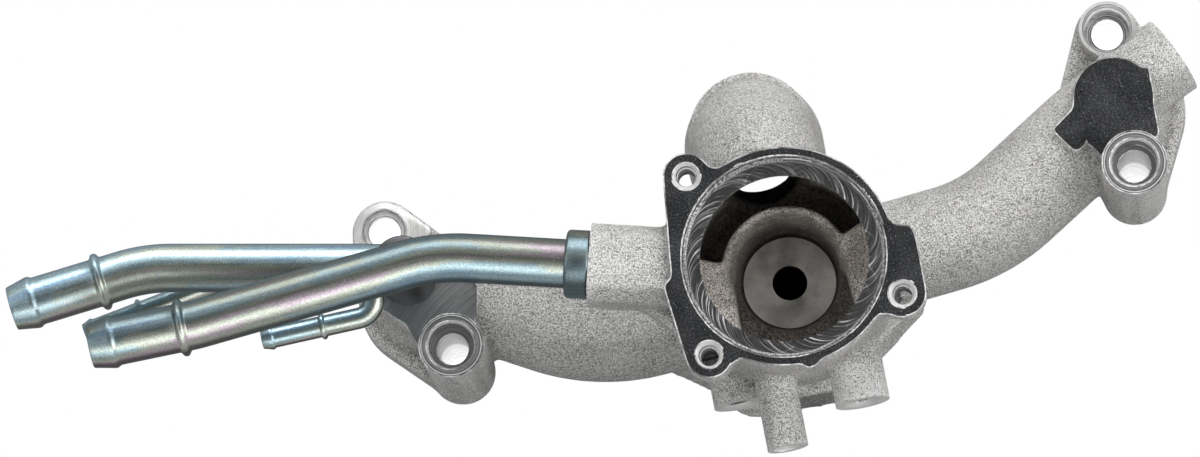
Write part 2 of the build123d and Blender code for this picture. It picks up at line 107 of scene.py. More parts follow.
def object_from(name, points, faces):
    """A new object from millimetre points, linked to the scene."""
    mesh = bpy.data.meshes.new(name)
    mesh.from_pydata([tuple(c * MM for c in p) for p in points], [], faces)
    mesh.update()
    made = bpy.data.objects.new(name, mesh)
    bpy.context.scene.collection.objects.link(made)
    return made


def drop(*objects):
    for item in objects:
        bpy.data.objects.remove(item, do_unlink=True)


def ring_frames(path):
    """Two cross directions at each station of a path, turned as little as possible along it."""
    path = [Vector(p) for p in path]
    heads = []
    for i in range(len(path)):
        before, after = path[max(i - 1, 0)], path[min(i + 1, len(path) - 1)]
        heads.append((after - before).normalized())
    side = heads[0].cross(Vector((0, 0, 1)))
    if side.length < 0.01:
        side = heads[0].cross(Vector((0, 1, 0)))
    side.normalize()
    frames = []
    for i, head in enumerate(heads):
        if i:
            side = heads[i - 1].rotation_difference(head) @ side
            side = (side - head * side.dot(head)).normalized()
        frames.append((side.copy(), head.cross(side)))
    return path, frames


def swept(name, path, radii, segments, inner=None):
    """A round bar along a path, with a radius at each station; with inner radii, an open tube."""
    path, frames = ring_frames(path)
    points, faces = [], []
    for wall in ([radii] if inner is None else [radii, inner]):
        for centre, (side, rise), radius in zip(path, frames, wall):
            for k in range(segments):
                turn = 2 * pi * k / segments
                points.append(centre + radius * (cos(turn) * side + sin(turn) * rise))
    count = len(path)

    def corner(layer, station, k):
        return (layer * count + station) * segments + k % segments

    for station in range(count - 1):
        for k in range(segments):
            faces.append((corner(0, station, k), corner(0, station, k + 1),
                          corner(0, station + 1, k + 1), corner(0, station + 1, k)))
            if inner is not None:
                faces.append((corner(1, station, k), corner(1, station + 1, k),
                              corner(1, station + 1, k + 1), corner(1, station, k + 1)))
    if inner is None:
        faces.append(tuple(reversed(range(segments))))
        faces.append(tuple(corner(0, count - 1, k) for k in range(segments)))
    else:
        for k in range(segments):
            faces.append((corner(0, 0, k + 1), corner(0, 0, k), corner(1, 0, k), corner(1, 0, k + 1)))
            faces.append((corner(0, count - 1, k), corner(0, count - 1, k + 1),
                          corner(1, count - 1, k + 1), corner(1, count - 1, k)))
    made = object_from(name, points, faces)
    outward(made)
    return made


def outward(made):
    """Turns every face of a closed mesh outward."""
    work = bmesh.new()
    work.from_mesh(made.data)
    bmesh.ops.recalc_face_normals(work, faces=work.faces[:])
    work.to_mesh(made.data)
    work.free()


def bar(name, start, end, radius, segments=ROUND):
    """A straight round bar."""
    return swept(name, (start, end), (radius, radius), segments)


def upright(name, spot, low, high, radius, segments=ROUND):
    return bar(name, (spot[0], spot[1], low), (spot[0], spot[1], high), radius, segments)


def rounded(points, bends, step=1.5):
    """A run through given points with its corners rounded."""
    points = [Vector(p) for p in points]
    out = [points[0]]
    for before, corner, after, bend in zip(points, points[1:], points[2:], bends):
        back, ahead = (before - corner).normalized(), (after - corner).normalized()
        half = back.angle(ahead) / 2
        centre = corner + (back + ahead).normalized() * (bend / sin(half))
        start = corner + back * (bend / tan(half))
        end = corner + ahead * (bend / tan(half))
        axis = (start - centre).cross(end - centre).normalized()
        arc = pi - 2 * half
        count = max(2, int(bend * arc / step))
        for i in range(count + 1):
            out.append(centre + Quaternion(axis, arc * i / count) @ (start - centre))
    out.append(points[-1])
    return out


def prism(name, outline, low, high):
    """An upright block with a given outline."""
    count = len(outline)
    points = [(x, y, low) for x, y in outline] + [(x, y, high) for x, y in outline]
    faces = [tuple(reversed(range(count))), tuple(range(count, 2 * count))]
    faces += [(i, (i + 1) % count, (i + 1) % count + count, i + count) for i in range(count)]
    made = object_from(name, points, faces)
    outward(made)
    return made


def slab(name, low, high):
    (x0, y0, z0), (x1, y1, z1) = low, high
    return prism(name, ((x0, y0), (x1, y0), (x1, y1), (x0, y1)), z0, z1)


def merged_copy(name, node):
    """A copy of a solid's mesh with its loose triangles joined into one skin."""
    made = bpy.data.objects.new(name, nodes[node].data.copy())
    bpy.context.scene.collection.objects.link(made)
    work = bmesh.new()
    work.from_mesh(made.data)
    bmesh.ops.remove_doubles(work, verts=work.verts[:], dist=0.002 * MM)
    bmesh.ops.recalc_face_normals(work, faces=work.faces[:])
    work.to_mesh(made.data)
    work.free()
    return made


def settled(made):
    """Applies all modifiers of an object to its mesh."""
    mesh = bpy.data.meshes.new_from_object(made.evaluated_get(bpy.context.evaluated_depsgraph_get()))
    made.modifiers.clear()
    made.data = mesh
    return made


def combined(made, tool, operation):
    """Cuts, joins or limits a mesh with a tool, which is used up."""
    step = made.modifiers.new(operation, "BOOLEAN")
    step.operation = operation
    step.solver = "MANIFOLD"
    step.object = tool
    settled(made)
    drop(tool)
    return made


def stock_on(name, source, centre, normal, reach, rise, sink):
    """Extra metal over a flat of the casting, to be machined off again later."""
    centre, normal = Vector(centre) * MM, Vector(normal).normalized()
    work = bmesh.new()
    work.from_mesh(source.data)
    away = []
    for face in work.faces:
        offset = face.calc_center_median() - centre
        level = face.normal.dot(normal) > 0.999 and abs(offset.dot(normal)) < 0.02 * MM
        if not level or offset.length > reach * MM:
            away.append(face)
    bmesh.ops.delete(work, geom=away, context="FACES")
    lifted = bmesh.ops.extrude_face_region(work, geom=work.faces[:], use_keep_orig=True)
    risen = {item for item in lifted["geom"] if isinstance(item, bmesh.types.BMVert)}
    for point in work.verts:
        point.co += normal * ((rise if point in risen else -sink) * MM)
    bmesh.ops.recalc_face_normals(work, faces=work.faces[:])
    mesh = bpy.data.meshes.new(name)
    work.to_mesh(mesh)
    work.free()
    made = bpy.data.objects.new(name, mesh)
    bpy.context.scene.collection.objects.link(made)
    return made


def joined(objects):
    """Several objects made one, without cutting them against each other."""
    work = bmesh.new()
    for item in objects:
        work.from_mesh(item.data)
    mesh = bpy.data.meshes.new(objects[0].name)
    work.to_mesh(mesh)
    work.free()
    objects[0].data = mesh
    drop(*objects[1:])
    return objects[0]


def grown(corners, margin):
    """An outline moved outward by a margin; its corners run against the clock."""
    corners = [Vector(c).to_2d() for c in corners]
    out = []
    for before, corner, after in zip(corners[-1:] + corners, corners, corners[1:] + corners[:1]):
        first, second = (corner - before).normalized(), (after - corner).normalized()
        push = Vector((first.y + second.y, -first.x - second.x))
        out.append(corner + push * (2 * margin / push.length_squared))
    return out


# The casting: a rough skin with soft corners, then the machined faces and bores cut into it

solid = merged_copy("outlet_casting_solid", "outlet_casting")


def core_plugs():
    """Bars that fill the cast hollows and stand a little out of their mouths."""
    crossover = rounded(((*left_port, core_foot), *crossover_route[1:-1], (*right_port, core_foot)),
                        crossover_bends)
    pump = rounded(((-6.26, 23.48, -26), (*pump_port, -26), (*pump_port, core_foot)), (19.5,))
    return [
        upright("core_chamber", (0, 0), 0.1 - well_depth, 8, 33.8, FINE_ROUND),
        swept("core_crossover", crossover, [15.0] * len(crossover), ROUND),
        upright("core_socket", pump_port, core_foot, -66, 19.8),
        swept("core_pump", pump, [17.0] * len(pump), ROUND),
    ]


def drill_plugs():
    """Bars a little wider than the drilled and bored holes, which stand a little out of their mouths."""
    boss_bars = []
    for label, (start, length, z, radius) in bosses.items():
        end, inner = along(start, boss_turn, length + 3), along(start, boss_turn, length - 18)
        boss_bars.append(bar("way_" + label, (*inner, z), (*end, z), radius - 2.2))
    stub_end = along(stub_start, stub_turn, stub_length + 5)
    seat_start, seat_end = along(spigot_end, front_turn, -6), along(spigot_end, front_turn, 36)
    return [
        upright("way_bypass", (0, 0), -62, -44, 8),
        bar("way_stub", (*stub_start, crossover_z), (*stub_end, crossover_z), 12.0),
        bar("way_seat", (*seat_start, front_z), (*seat_end, front_z), 9.4),
        upright("way_post", post_centre, -64, -40, 8.4),
        upright("way_left_tall", left_tall, core_foot, -28, 8.6),
        upright("way_right_tall", right_tall, core_foot, -28, 8.6),
        upright("way_left_low", left_low, core_foot, -72, 7.3),
        upright("way_right_low", right_low, core_foot, -60, 8.7),
    ] + [upright("way_ear", ear, -14.3, 6, 4.9) for ear in ears] + boss_bars


def uncut_skin():
    """The metal that the milling takes off: the elbows' round tops, and stock over every flat."""
    route = rounded(crossover_route, crossover_bends)
    rough = [swept("stock_crossover", route, [crossover_radius] * len(route), ROUND)]
    # Middle, direction and reach of each flat
    flats = [((0, 0, 0), UP, 70),
             ((*left_port, left_pad_z), UP, 40), ((*right_port, right_pad_z), UP, 40),
             ((*left_tall, tall_top), UP, 20), ((*right_tall, tall_top), UP, 20),
             ((*right_low, right_low_top), UP, 20),
             ((*left_port, flange_z), DOWN, 60), ((*right_port, flange_z), DOWN, 60),
             ((*pump_port, socket_end), DOWN, 40),
             ((*along(stub_start, stub_turn, stub_length), crossover_z), heading(stub_turn), 30),
             ((*spigot_end, front_z), -heading(front_turn), 30)]
    for start, length, z, _ in bosses.values():
        flats.append(((*along(start, boss_turn, length), z), heading(boss_turn), 16))
    for number, (centre, normal, reach) in enumerate(flats):
        rough.append(stock_on(f"stock_{number}", solid, centre, normal, reach, rise=7, sink=3))
    return rough


def end_mill(name, spot, turn, z, radius):
    """A mill that squares the end of a boss, from the middle of that end outward."""
    return bar(name, (*spot, z), (*along(spot, turn, mill_rise), z), radius)


def machining_tools():
    """Blocks that leave the machined faces flat and sharp."""
    tools = [slab("mill_mouth", (-70, -70, -skim), (70, 70, 14)),
             slab("mill_left_flange", (-170, -60, -100), (-90, 60, flange_z)),
             slab("mill_right_flange", (70, 10, -100), (150, 115, flange_z)),
             upright("mill_socket", pump_port, tool_foot, socket_end, 27),
             upright("mill_left_tall", left_tall, tall_top, -24, 14),
             upright("mill_right_tall", right_tall, tall_top, -24, 14),
             upright("mill_right_low", right_low, right_low_top, -56, 10.4)]
    for name, centre, boss, corners, z in (
            ("left", left_port, left_tall, left_pad_corners, left_pad_z),
            ("right", right_pad_centre, right_tall, right_pad_corners, right_pad_z)):
        tools.append(upright(f"mill_{name}_pad", centre, z, z + mill_rise, pad_radius + pad_margin))
        outline = [(centre[0] + x, centre[1] + y) for x, y in grown(corners, field_margin)]
        field = prism(f"mill_{name}_field", outline, z, z + mill_rise)
        tools.append(combined(field, upright("boss", boss, z - 2, z + 20, 10.75), "DIFFERENCE"))
    turned_corners = [Matrix.Rotation(radians(arm_turn), 2) @ Vector(corner) for corner in arm_corners]
    tools.append(prism("mill_arm", [(arm_centre[0] + p.x, arm_centre[1] + p.y) for p in turned_corners],
                       right_pad_z, right_pad_z + mill_rise))
    for label, (start, length, z, radius) in bosses.items():
        tools.append(end_mill("mill_" + label, along(start, boss_turn, length), boss_turn, z, radius + 2.5))
    stub_end = along(stub_start, stub_turn, stub_length)
    return tools + [end_mill("mill_stub", stub_end, stub_turn, crossover_z, 17),
                    end_mill("mill_spigot", spigot_end, front_turn + 180, front_z, 22)]


# Materials

class Value:
    """A socket of a material that can be used in sums like a number."""

    def __init__(self, paint, socket):
        self.paint, self.socket = paint, socket

    def sum(self, operation, *others):
        return self.paint.node("ShaderNodeMath", dict(enumerate((self, *others))), operation=operation)

    def __add__(self, other):
        return self.sum("ADD", other)

    __radd__ = __add__

    def __mul__(self, other):
        return self.sum("MULTIPLY", other)

    __rmul__ = __mul__

    def __sub__(self, other):
        return self.sum("SUBTRACT", other)

    def __rsub__(self, other):
        return self.paint.node("ShaderNodeMath", {0: other, 1: self}, operation="SUBTRACT")

    def __truediv__(self, other):
        return self.sum("DIVIDE", other)

    def __pow__(self, other):
        return self.sum("POWER", other)

    def ramp(self, low, high, start=0.0, end=1.0):
        """Start where the value is low or less, end where it is high or more, smooth between."""
        return self.paint.node("ShaderNodeMapRange", {"Value": self, "From Min": low, "From Max": high,
                                                      "To Min": start, "To Max": end},
                               interpolation_type="SMOOTHSTEP")


class Paint:
    """A material under construction."""

    def __init__(self, name, metallic=1.0):
        self.material = bpy.data.materials.new(name)
        self.material.use_nodes = True
        self.tree = self.material.node_tree
        self.tree.nodes.clear()
        self.shader = self.tree.nodes.new("ShaderNodeBsdfPrincipled")
        out = self.tree.nodes.new("ShaderNodeOutputMaterial")
        self.tree.links.new(self.shader.outputs[0], out.inputs[0])
        self.shader.inputs["Metallic"].default_value = metallic
        # Place on the object, in millimetres
        metres = self.node("ShaderNodeTexCoord", output="Object")
        self.place = self.node("ShaderNodeVectorMath", {0: metres, 1: (1 / MM,) * 3}, operation="MULTIPLY")
        self.x, self.y, self.z = self.split(self.place)

    def feed(self, socket, item):
        if isinstance(item, Value):
            self.tree.links.new(item.socket, socket)
        else:
            socket.default_value = item

    def node(self, kind, inputs=None, output=0, **settings):
        """Any node: inputs by name or number, then its settings. Gives one of its outputs."""
        made = self.tree.nodes.new(kind)
        for key, item in settings.items():
            setattr(made, key, item)
        for key, item in (inputs or {}).items():
            self.feed(made.inputs[key], item)
        return made if output is None else Value(self, made.outputs[output])

    def vector(self, x, y, z):
        return self.node("ShaderNodeCombineXYZ", {0: x, 1: y, 2: z})

    def split(self, vector):
        parts = self.node("ShaderNodeSeparateXYZ", {0: vector}, output=None)
        return [Value(self, socket) for socket in parts.outputs]

    def noise(self, where, scale, detail=2.0, roughness=0.5, distortion=0.0):
        return self.node("ShaderNodeTexNoise", {"Vector": where, "Scale": scale, "Detail": detail,
                                                "Roughness": roughness, "Distortion": distortion})

    def cells(self, where, scale, output="Distance", **settings):
        return self.node("ShaderNodeTexVoronoi", {"Vector": where, "Scale": scale}, output=output, **settings)

    def blend(self, factor, first, second):
        """A colour between two, by a factor from 0 to 1."""
        made = self.node("ShaderNodeMix", output=None, data_type="RGBA")
        for socket, item in ((made.inputs[0], factor), (made.inputs[6], first), (made.inputs[7], second)):
            self.feed(socket, item if isinstance(item, Value) else (*item, 1.0))
        return Value(self, made.outputs[2])

    def scaled(self, colour, amount):
        """A colour made lighter or darker by a variable amount."""
        grey = self.vector(amount, amount, amount)
        return self.node("ShaderNodeVectorMath", {0: colour, 1: grey}, operation="MULTIPLY")

    def finish(self, colour, roughness, height=None, depth=0.1, metallic=None):
        """Feeds the shader; height is a bump of the given depth in millimetres."""
        self.feed(self.shader.inputs["Base Color"], colour)
        self.feed(self.shader.inputs["Roughness"], roughness)
        if metallic is not None:
            self.feed(self.shader.inputs["Metallic"], metallic)
        if height is not None:
            bump = self.node("ShaderNodeBump", {"Height": height, "Distance": depth * MM, "Strength": 1.0})
            self.tree.links.new(bump.socket, self.shader.inputs["Normal"])
        return self.material


def polar(paint):
    """Distance from the mouth's axis, and the angle round it."""
    reach = (paint.x * paint.x + paint.y * paint.y) ** 0.5
    return reach, paint.y.sum("ARCTAN2", paint.x)


def nearest(paint, holes, reach):
    """Distance from the nearest of some upright holes, or the given reach where that is less."""
    for hole in holes:
        x, y = paint.x - hole[0], paint.y - hole[1]
        reach = ((x * x + y * y) ** 0.5).sum("MINIMUM", reach)
    return reach


def cast_grain(paint):
    """Height of a blasted sand-cast surface, and the tilt of its crumbs as lights and darks."""
    fine = paint.noise(paint.place, 2.6, 3.0, 0.72)
    crumbs = paint.cells(paint.place, 1.9, feature="SMOOTH_F1")
    lumps = paint.noise(paint.place, 0.16, 2.0, 0.5)
    tilt = paint.node("ShaderNodeSeparateColor", {0: paint.cells(paint.place, 2.5, output="Color")})
    sparkle = 0.90 * tilt + 1.15 * fine.ramp(0.36, 0.64) - 0.60
    return fine * 1.1 + crumbs * 0.7 + lumps * 2.4, fine, sparkle


def cast_aluminium():
    """The blasted skin: painted shade in its hollows, and corners lighter from wear and a painted highlight.
    """
    paint = Paint("cast_aluminium", 0.82)
    height, fine, sparkle = cast_grain(paint)
    stain = paint.noise(paint.place, 0.045, 3.0, 0.6)
    # Pointiness: corners lighter, as wear and a painted highlight; hollows darker, as painted shade
    worn = paint.node("ShaderNodeNewGeometry", output="Pointiness").ramp(0.44, 0.56, 0.62, 1.38)
    # Painted shade darkens the rear web's lower edge; painted light pales the right elbow and the right
    # bracket boss
    web_underside_shade = paint.z.ramp(-74.0, -71.5, 1.0, 0.0) * paint.y.ramp(-22.0, -18.0, 1.0, 0.0) * (
        paint.x.ramp(-12.0, -6.0) * paint.x.ramp(34.0, 40.0, 1.0, 0.0))
    # Painted light towards the front: more grain contrast there, and a paler right bracket boss
    front = paint.y.ramp(-36.0, -29.0, 1.0, 0.0)
    pale = paint.x.ramp(70.0, 115.0, 1.0, 1.08) * (1.0 + 0.50 * front * paint.x.ramp(8.0, 20.0))
    light = (0.56 + sparkle * (1.0 + 0.30 * front) + 0.16 * stain.ramp(0.3, 0.7)) * worn
    colour = paint.scaled((0.62, 0.61, 0.595), light * (1.0 - 0.6 * web_underside_shade) * pale)
    return paint.finish(colour, fine.ramp(0.3, 0.75, 0.34, 0.58), height, 0.50)


def inner_cast():
    """The cored hollows: browner, with painted shade that darkens them with depth and in the groove round the
    seat, and a painted highlight just outside that groove.
    """
    paint = Paint("inner_cast")
    height, fine, sparkle = cast_grain(paint)
    # Painted shade, darker with depth
    depth_shade = paint.z.ramp(-44.0, -18.0, 0.20, 1.0) * paint.z.ramp(-45.0, -43.6, 0.38, 1.0)
    stain = paint.noise(paint.place, 0.12, 3.0, 0.6).ramp(0.35, 0.7, 0.75, 1.15)
    reach, _ = polar(paint)
    # Painted shade in the groove round the seat, and a painted highlight on the ring outside it
    groove = reach.ramp(16.0, 16.5, 0.45, 1.35) * reach.ramp(17.2, 18.0, 1.0, 0.74)
    low = paint.z.ramp(-42.5, -41.0, 1.0, 0.0)
    colour = paint.scaled((0.66, 0.62, 0.575), depth_shade * stain * (0.56 + sparkle) * (1.0 - low + low * groove))
    return paint.finish(colour, fine.ramp(0.3, 0.75, 0.38, 0.60), height, 0.45)


def scratch_lines(paint, turn, across, along_it, low=0.60, high=0.72, seed=0.0):
    """Fine straight scratches in one direction, given in degrees from +X."""
    c, s = cos(radians(turn)), sin(radians(turn))
    run = paint.x * c + paint.y * s
    side = paint.y * c - paint.x * s
    lines = paint.noise(paint.vector(run * along_it, side * across, seed), 1.0, 3.0, 0.65)
    return lines, lines.ramp(low, high)


def milled_dark_reflection():
    """The mouth's milled face, coloured dark as a painted reflection, with crossed scratches, specks and a
    faint cloud.
    """
    paint = Paint("milled_dark_reflection")
    lines, marks = scratch_lines(paint, 112.0, 4.5, 0.10)
    second, nicks = scratch_lines(paint, 24.0, 4.0, 0.20, 0.66, 0.74, 7.0)
    cloud = paint.noise(paint.place, 0.07, 4.0, 0.6).ramp(0.3, 0.75)
    grain = paint.noise(paint.place, 1.9, 3.0, 0.7).ramp(0.35, 0.65)
    specks = paint.cells(paint.place, 0.7).ramp(0.12, 0.04)
    light = 0.42 + 0.22 * cloud + 1.1 * marks + 1.3 * nicks * cloud + 4.4 * specks + 1.15 * grain * grain
    # The dark base colour is a painted dark reflection; the scratches and specks are lighter marks of its own
    colour = paint.scaled((0.150, 0.155, 0.162), light)
    metal = 0.94 - (0.22 * marks + 0.30 * nicks * cloud + 0.45 * specks + 0.10 * grain)
    rough = cloud.ramp(0.0, 1.0, 0.24, 0.32) + 0.05 * marks
    return paint.finish(colour, rough, lines + second * 0.7, 0.010, metal)


def milled_pad():
    """A brighter milled flat with the broad arcs of a face cutter."""
    paint = Paint("milled_pad")
    x, y = paint.x + 70.0, paint.y + 48.0
    out = (x * x + y * y) ** 0.5
    arcs = paint.noise(paint.vector(out * 1.9, paint.x * 0.04, 0.0), 1.0, 3.0, 0.65)
    haze = paint.noise(paint.place, 0.14, 3.0, 0.6)
    colour = paint.scaled((0.50, 0.505, 0.51), 0.50 + 0.45 * arcs.ramp(0.35, 0.7) + 0.6 * haze)
    return paint.finish(colour, 0.26 + 0.2 * haze, arcs, 0.02)


def cutter_ring():
    """The ledge, cut by a small end mill on a round path: each tooth leaves a short arc, painted bright as a
    highlight on its ridge.
    """
    paint = Paint("cutter_ring")
    reach, angle = polar(paint)
    path, tooth = 21.5, 10.3
    lean = ((reach * reach + (path * path - tooth * tooth)) / (reach * (2 * path))).sum("ARCCOSINE")
    wander = 0.10 * paint.noise(paint.place, 0.06, 2.0, 0.5)
    front, rear = angle + lean + wander, angle - lean + wander

    def arcs(phase, count, seed):
        ring = paint.vector(phase.sum("COSINE") * count, phase.sum("SINE") * count, reach * 0.10 + seed)
        return paint.noise(ring, 1.0, 4.0, 0.70)

    first, other = arcs(front, 30.0, 0.0), arcs(rear, 22.0, 9.0)
    share = paint.noise(paint.vector(angle.sum("COSINE") * 1.1, angle.sum("SINE") * 1.1, 3.0), 1.0, 2.0, 0.5)
    lines = first.ramp(0.50, 0.68) * share.ramp(0.30, 0.62, 0.45, 1.0) + 0.75 * other.ramp(0.56, 0.72) * (
        share.ramp(0.35, 0.65, 1.0, 0.25))
    glint = paint.noise(paint.place, 1.2, 3.0, 0.7)
    # The arcs are painted bright as highlights on their ridges; glint adds small painted highlights
    colour = paint.scaled((0.50, 0.50, 0.50), 0.25 + 1.5 * lines + 0.35 * glint)
    metal = lines.ramp(0.1, 0.9, 1.0, 0.35)
    return paint.finish(colour, 0.20 + 0.18 * first, first + 0.6 * other, 0.05, metal)


def turned_seat():
    """The valve's seat: turned rings, and a sheen that goes round twice."""
    paint = Paint("turned_seat")
    reach, angle = polar(paint)
    rings = paint.noise(paint.vector(reach * 4.5, angle * 0.6, 0.0), 1.0, 3.0, 0.7)
    haze = paint.noise(paint.place, 0.16, 3.0, 0.6)
    sheen = (angle * 2.0 - 0.5).sum("COSINE")
    light = 0.60 + 0.35 * rings + 0.45 * haze.ramp(0.3, 0.7) + 0.25 * reach.ramp(4.0, 15.0) + 0.22 * sheen
    colour = paint.scaled((0.54, 0.52, 0.49), light)
    return paint.finish(colour, 0.36 + 0.16 * haze, rings, 0.012)


def bored():
    """Drilled and turned metal: fine rings round the nearest upright hole, and down its wall."""
    paint = Paint("bored_metal")
    reach = nearest(paint, (left_tall, left_low, right_tall, right_low, *ears), polar(paint)[0])
    rings = paint.noise(paint.vector(reach * 1.9, paint.z * 1.3, 0.0), 1.0, 4.0, 0.75)
    haze = paint.noise(paint.place, 0.30, 2.0, 0.6)
    # Painted shade, darker lower down in the well and the holes, and lighter again near the holes' lower ends
    depth_shade = paint.z.ramp(-41.0, -38.5, 0.35, 1.0) + paint.z.ramp(-62.0, -58.0, 0.65, 0.0)
    colour = paint.scaled((0.74, 0.74, 0.735), (0.12 + 1.25 * rings.ramp(0.36, 0.62) + 0.3 * haze) * depth_shade)
    return paint.finish(colour, 0.18 + 0.22 * rings, rings, 0.12, rings.ramp(0.45, 0.62, 1.0, 0.55))


def burr():
    """The thin line where a milled face meets the cast skin: a deburred edge, painted near white as its
    highlight.
    """
    paint = Paint("burr_edge_highlight", 0.15)
    nicks = paint.noise(paint.place, 0.55, 3.0, 0.7)
    worn = paint.noise(paint.place, 0.06, 2.0, 0.5)
    # The near white is a painted highlight; nicks and worn stretches dim it
    light = nicks.ramp(0.30, 0.62, 0.35, 1.0) * worn.ramp(0.38, 0.52, 0.30, 1.05)
    return paint.finish(paint.scaled((0.90, 0.90, 0.90), light), 0.30 + 0.2 * nicks)


def satin():
    """A spot-faced ear or squared end: pale, with faint rings round the ear's hole."""
    paint = Paint("satin_face", 0.30)
    reach = nearest(paint, (left_low, right_low), 99.0)
    rings = paint.noise(paint.vector(reach * 2.2, 0.0, 0.0), 1.0, 3.0, 0.7)
    haze = paint.noise(paint.place, 0.35, 3.0, 0.7)
    colour = paint.scaled((0.76, 0.755, 0.745), 0.55 + 0.45 * rings.ramp(0.35, 0.6) + 0.35 * haze)
    return paint.finish(colour, 0.34 + 0.15 * haze, rings + 0.6 * haze, 0.03)


def plated_steel():
    """Zinc plating: thin rainbow tints in soft bands round and along each tube."""
    paint = Paint("plated_steel")
    # Two directions across the tube, and the run along it in millimetres
    spot = paint.node("ShaderNodeAttribute", output="Vector", attribute_name="tube_place")
    side, rise, run = paint.split(spot)
    band = paint.noise(paint.vector(side * 1.3, rise * 1.3, run * 0.012), 1.0, 2.0, 0.5)
    streak = paint.noise(paint.vector(side * 8.0, rise * 8.0, run * 0.04), 1.0, 4.0, 0.62)
    grain = paint.noise(paint.place, 2.2, 3.0, 0.70)
    cloud = paint.noise(paint.place, 0.13, 3.0, 0.6, 0.6)
    # The front pipe lies above this height and the rear pipe below it
    upper = paint.z.ramp(-23.0, -21.5)
    tint = band * 1.5 + 0.30 * streak + 0.35 * cloud - 0.62 + 0.08 * upper
    cool = paint.blend(tint.ramp(0.15, 0.42), (0.26, 0.39, 0.52), (0.36, 0.48, 0.52))
    warm = paint.blend(tint.ramp(0.46, 0.62), cool, (0.47, 0.51, 0.44))
    colour = paint.blend(tint.ramp(0.64, 0.80), warm, (0.50, 0.43, 0.48))
    # Painted light and shade round each tube, one way for the front pipe and another for the rear pipe, with
    # darker edges as a painted dark reflection
    upper_shade = side.ramp(0.0, 0.55, 0.55, 1.65)
    lower_shade = side.ramp(-0.4, 0.1, 1.35, 0.75) + side.ramp(0.25, 0.6, 0.0, 1.1)
    edges = side.ramp(-0.98, -0.84, 0.25, 1.0) * side.ramp(0.82, 0.97, 1.0, 0.22)
    shade = (upper * upper_shade + (1.0 - upper) * lower_shade) * edges
    light = (0.45 + 0.60 * streak + 0.55 * grain.ramp(0.3, 0.7)) * shade
    scuffs = paint.cells(paint.place, 0.45).ramp(0.12, 0.03) * cloud.ramp(0.45, 0.60)
    colour = paint.scaled(colour, light + 1.3 * scuffs)
    height = grain * 0.7 + streak * 0.4 + cloud * 2.0
    return paint.finish(colour, 0.27 + 0.14 * streak + 0.10 * cloud, height, 0.045)


def dark_steel():
    """The post: brushed round, under a dull dark plating."""
    paint = Paint("dark_steel")
    brushed = paint.noise(paint.vector(paint.x * 0.3, paint.y * 0.3, paint.z * 5.0), 1.0, 3.0, 0.7)
    haze = paint.noise(paint.place, 0.25, 3.0, 0.6)
    colour = paint.scaled((0.115, 0.118, 0.125), 0.6 + 0.6 * brushed + 0.5 * haze)
    return paint.finish(colour, 0.32 + 0.15 * haze, brushed + haze, 0.02)


casting_finishes = [cast_aluminium(), inner_cast(), milled_dark_reflection(), cutter_ring(), turned_seat(), bored(),
                    milled_pad(), burr(), satin()]
CAST, INNER, MILLED, LEDGE, SEAT, BRIGHT, PAD, BURR, SATIN = range(9)
plating, dark = plated_steel(), dark_steel()


def painted(made, index):
    """Gives a block of the casting all its finishes, with one of them on every face."""
    made.data.materials.clear()
    for finish in casting_finishes:
        made.data.materials.append(finish)
    made.data.polygons.foreach_set("material_index", [index] * len(made.data.polygons))
    made.data.update()
    return made


def fused(tools):
    """One block from several that may overlap."""
    whole = tools[0]
    for tool in tools[1:]:
        combined(whole, tool, "UNION")
    return whole


def softened(made, size, rounds, share):
    """A closed mesh with its sharp corners worn round, and fewer triangles."""
    remesh = made.modifiers.new("skin", "REMESH")
    remesh.mode = "VOXEL"
    remesh.voxel_size = size * MM
    smooth = made.modifiers.new("soften", "SMOOTH")
    smooth.factor = 0.5
    smooth.iterations = rounds
    settled(made)
    thin = made.modifiers.new("thin", "DECIMATE")
    thin.ratio = share
    return settled(made)


# What the cores leave has soft corners, and what is drilled or turned has sharp ones.
# Both are limited to the empty space of the solid, so that no wall gets thinner.
holes = fused([painted(plug, BRIGHT) for plug in drill_plugs()])
combined(holes, painted(merged_copy("hole_limits", "outlet_casting"), BRIGHT), "DIFFERENCE")
hollows = fused(core_plugs())
combined(hollows, merged_copy("hollow_limits", "outlet_casting"), "DIFFERENCE")
softened(hollows, size=0.9, rounds=6, share=0.6)
painted(hollows, INNER)
lip_top = -ledge_depth
lip = upright("lip", (0, 0), lip_top - 1.7, lip_top, 36, FINE_ROUND)
combined(lip, upright("lip_hole", (0, 0), -9, 0, ledge_radius, FINE_ROUND), "DIFFERENCE")
combined(hollows, painted(lip, BRIGHT), "DIFFERENCE")
turned_parts = [
    upright("turn_mouth", (0, 0), -mouth_step_depth, 9, mouth_radius, FINE_ROUND),
    swept("turn_edge", ((0, 0, -0.3), (0, 0, 0.2)), [mouth_radius - 0.05, mouth_radius + 0.45], FINE_ROUND),
    upright("turn_ledge", (0, 0), lip_top, 9, mouth_radius - mouth_step, FINE_ROUND),
    upright("turn_lip", (0, 0), lip_top - lip_depth, 9, ledge_radius, FINE_ROUND),
    upright("turn_seat", (0, 0), -well_depth, -38, seat_radius, FINE_ROUND),
    upright("turn_socket", pump_port, tool_foot, socket_end + socket_depth, socket_bore, 128)]
tools = fused([painted(tool, MILLED) for tool in machining_tools()] +
              [painted(tool, BRIGHT) for tool in turned_parts] + [holes, hollows])

casting = joined([merged_copy("outlet_casting_finished", "outlet_casting")] + uncut_skin() + core_plugs()
                 + drill_plugs())
drop(solid)
softened(casting, size=1.15, rounds=8, share=0.45)
painted(casting, CAST)
combined(casting, tools, "DIFFERENCE")


